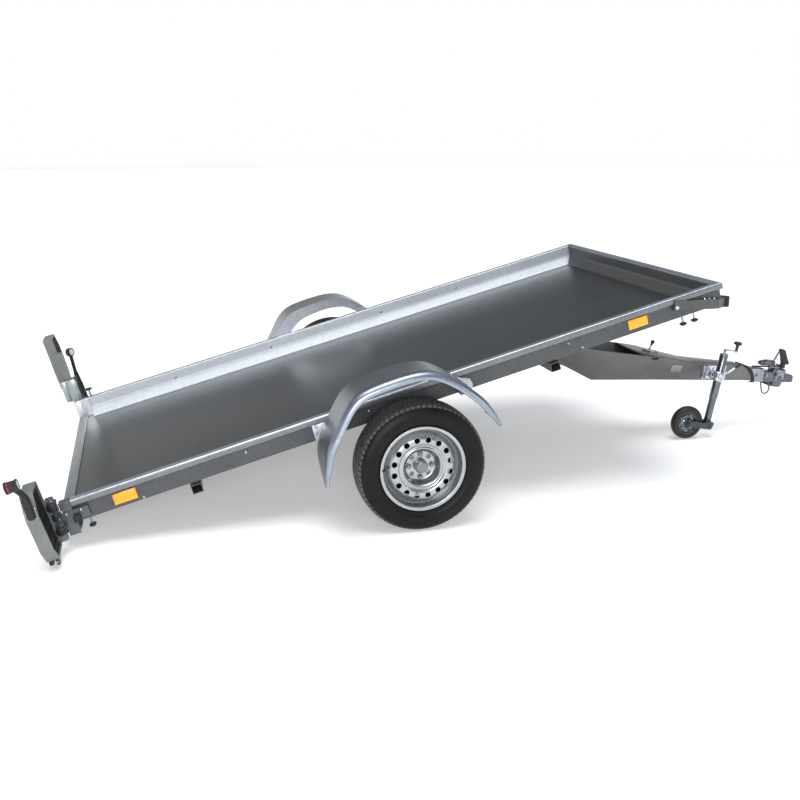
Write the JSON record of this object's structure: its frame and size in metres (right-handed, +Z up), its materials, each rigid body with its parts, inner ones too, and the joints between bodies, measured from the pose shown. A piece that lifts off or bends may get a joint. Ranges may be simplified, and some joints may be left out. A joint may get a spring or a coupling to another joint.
{
  "type": "tilt-bed utility trailer",
  "caption": "low-sided flatbed trailer with a tilting bed, single axle, mudguards, hinged box drawbar, ball coupling, jockey wheel and sliding lamp boards",
  "frame": {"origin": "centre of the bounding box, on the floor the wheels stand on", "axes": "+X points the way the trailer is towed, +Y to its left, +Z up"},
  "size_m": [4.0584, 2.154, 0.9506],
  "materials": {
    "galvanised": "bright hot-dip galvanised sheet",
    "galvanised_dark": "dull hot-dip galvanised steel",
    "plywood": "dark phenolic film, glossy",
    "tyre": "black rubber",
    "rubber": "black, semi-matt",
    "wheel_silver": "silver lacquer",
    "zinc": "bright zinc plate",
    "amber_lens": "amber reflector",
    "red_lens": "red lens",
    "lamp_tray": "galvanised sheet",
    "black_plastic": "black plastic"
  },
  "bodies": {
    "bed": {"side_rails": "galvanised", "front_rail": "galvanised", "floor_panel": "plywood", "rear_sill": "galvanised", "rear_corner_posts": "galvanised", "cross_members": "galvanised", "chassis_rails": "galvanised_dark", "axle_brackets": "galvanised", "axle_tube": "galvanised", "swing_arms": "galvanised", "hinge_bracket": "galvanised_dark", "mudguard_left": "galvanised", "mudguard_right": "galvanised", "mudguard_brackets": "galvanised", "side_markers": "amber_lens", "front_arms": "galvanised", "front_arm_caps": "rubber", "latch_catch": "galvanised", "clamp_screws": "zinc", "lamp_guides": "galvanised", "marker_lamp_left": "rubber"},
    "wheel_left": {"tyre_left": "tyre", "rim_left": "wheel_silver", "hub_left": "zinc"},
    "wheel_right": {"tyre_right": "tyre", "rim_right": "wheel_silver", "hub_right": "zinc"},
    "lamp_mount_left": {"lamp_board_left": "lamp_tray", "tail_lamp_left": "red_lens"},
    "lamp_mount_right": {"lamp_board_right": "lamp_tray", "tail_lamp_right": "red_lens", "marker_lamp_right": "rubber"},
    "drawbar": {"drawbar_beam": "galvanised_dark", "hinge_pin": "galvanised", "drawbar_collar": "black_plastic", "latch_lever": "zinc", "coupling_head": "zinc", "coupling_handle": "black_plastic", "safety_loop": "zinc", "jockey_outer_tube": "zinc", "jockey_clamp": "zinc", "jockey_clamp_lever": "zinc", "jockey_crank": "zinc"},
    "jockey_column": {"jockey_inner_tube": "zinc"},
    "jockey_fork_body": {"jockey_fork": "zinc"},
    "jockey_wheel": {"jockey_tyre": "rubber", "jockey_rim": "wheel_silver"}
  },
  "joints": [
    {"name": "wheel_left_spin", "type": "hinge", "parent": "bed", "child": "wheel_left", "pos_m": [-0.43082, 0.912, 0.2735], "axis": [0, 1, 0], "continuous": true},
    {"name": "wheel_right_spin", "type": "hinge", "parent": "bed", "child": "wheel_right", "pos_m": [-0.43082, -0.912, 0.2735], "axis": [0, 1, 0], "continuous": true},
    {"name": "drawbar_hinge", "type": "hinge", "parent": "bed", "child": "drawbar", "pos_m": [0.31591, 0, 0.5788], "axis": [0, -1, 0], "range_deg": [0, 22]},
    {"name": "lamp_slide_left", "type": "slide", "parent": "bed", "child": "lamp_mount_left", "axis": [-0.256, 0, 0.9667], "range_m": [-0.215, 0]},
    {"name": "lamp_slide_right", "type": "slide", "parent": "bed", "child": "lamp_mount_right", "axis": [-0.256, 0, 0.9667], "range_m": [0, 0.12]},
    {"name": "jockey_height", "type": "slide", "parent": "drawbar", "child": "jockey_column", "axis": [0.1822, 0, 0.9833], "range_m": [-0.06, 0.08]},
    {"name": "jockey_swivel", "type": "hinge", "parent": "jockey_column", "child": "jockey_fork_body", "pos_m": [1.40818, -0.15, 0.067], "axis": [0.1822, 0, 0.9833], "continuous": true},
    {"name": "jockey_wheel_spin", "type": "hinge", "parent": "jockey_fork_body", "child": "jockey_wheel", "pos_m": [1.28718, -0.15, 0.09], "axis": [0, 1, 0], "continuous": true}
  ]
}
